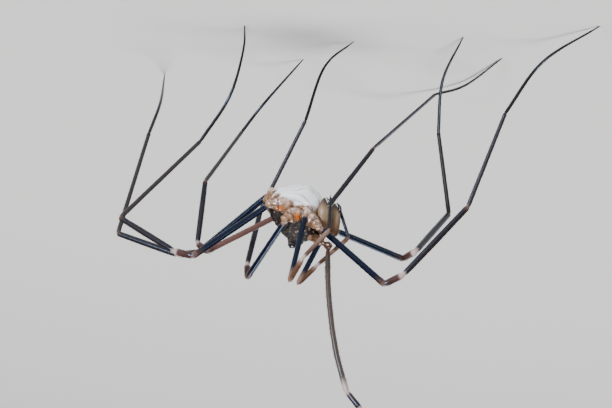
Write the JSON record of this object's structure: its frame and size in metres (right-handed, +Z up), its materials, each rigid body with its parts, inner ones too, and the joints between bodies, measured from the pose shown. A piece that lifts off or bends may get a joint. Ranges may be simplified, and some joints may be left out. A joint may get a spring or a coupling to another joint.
{
  "type": "harvestman",
  "caption": "Long-legged harvestman standing with its body slung low between bent legs and one front leg raised as a feeler",
  "frame": {"origin": "centre of the bottom of the box around the whole animal, on the floor it stands on", "axes": "+Z up, the head toward -X, the animal's left side toward -Y"},
  "size_m": [0.051, 0.0334, 0.033],
  "materials": {
    "cephalothorax": "rough dark brown back, pale pinkish tan hip segments",
    "abdomen": "chalky white below, dark brown and speckled above",
    "eye_tubercle": "dark brown, rough",
    "eye": "black, wet gloss",
    "jaw": "pinkish tan, satin",
    "jaw_finger": "black",
    "femur": "blue-black, glossy",
    "patella": "red-brown, satin",
    "tibia": "dark purple-brown, satin",
    "metatarsus": "greyish pink-brown",
    "tarsus": "black",
    "palp_femur": "blue-black, glossy",
    "palp_patella": "pinkish red-brown, satin",
    "palp_tibia": "pinkish brown, satin",
    "palp_tarsus": "red-brown with a black claw"
  },
  "bodies": {
    "root": {"cephalothorax": "cephalothorax", "abdomen": "abdomen", "eye_tubercle": "eye_tubercle", "eye_left": "eye", "eye_right": "eye", "chelicera_left_base": "jaw", "chelicera_left_hand": "jaw", "chelicera_left_finger": "jaw_finger", "chelicera_right_base": "jaw", "chelicera_right_hand": "jaw", "chelicera_right_finger": "jaw_finger", "leg_1_left_femur": "femur", "leg_1_left_patella": "patella", "leg_1_left_tibia": "tibia", "leg_1_left_metatarsus": "metatarsus", "leg_1_left_tarsus": "tarsus", "leg_1_right_femur": "femur", "leg_1_right_patella": "patella", "leg_1_right_tibia": "tibia", "leg_1_right_metatarsus": "metatarsus", "leg_1_right_tarsus": "tarsus", "leg_2_left_femur": "femur", "leg_2_left_patella": "patella", "leg_2_left_tibia": "tibia", "leg_2_left_metatarsus": "metatarsus", "leg_2_left_tarsus": "tarsus", "leg_2_right_femur": "femur", "leg_2_right_patella": "patella", "leg_2_right_tibia": "tibia", "leg_2_right_metatarsus": "metatarsus", "leg_2_right_tarsus": "tarsus", "leg_3_left_femur": "femur", "leg_3_left_patella": "patella", "leg_3_left_tibia": "tibia", "leg_3_left_metatarsus": "metatarsus", "leg_3_left_tarsus": "tarsus", "leg_3_right_femur": "femur", "leg_3_right_patella": "patella", "leg_3_right_tibia": "tibia", "leg_3_right_metatarsus": "metatarsus", "leg_3_right_tarsus": "tarsus", "leg_4_left_femur": "femur", "leg_4_left_patella": "patella", "leg_4_left_tibia": "tibia", "leg_4_left_metatarsus": "metatarsus", "leg_4_left_tarsus": "tarsus", "leg_4_right_femur": "femur", "leg_4_right_patella": "patella", "leg_4_right_tibia": "tibia", "leg_4_right_metatarsus": "metatarsus", "leg_4_right_tarsus": "tarsus", "palp_left_femur": "palp_femur", "palp_left_patella": "palp_patella", "palp_left_tibia": "palp_tibia", "palp_left_tarsus": "palp_tarsus", "palp_right_femur": "palp_femur", "palp_right_patella": "palp_patella", "palp_right_tibia": "palp_tibia", "palp_right_tarsus": "palp_tarsus"}
  },
  "joints": []
}
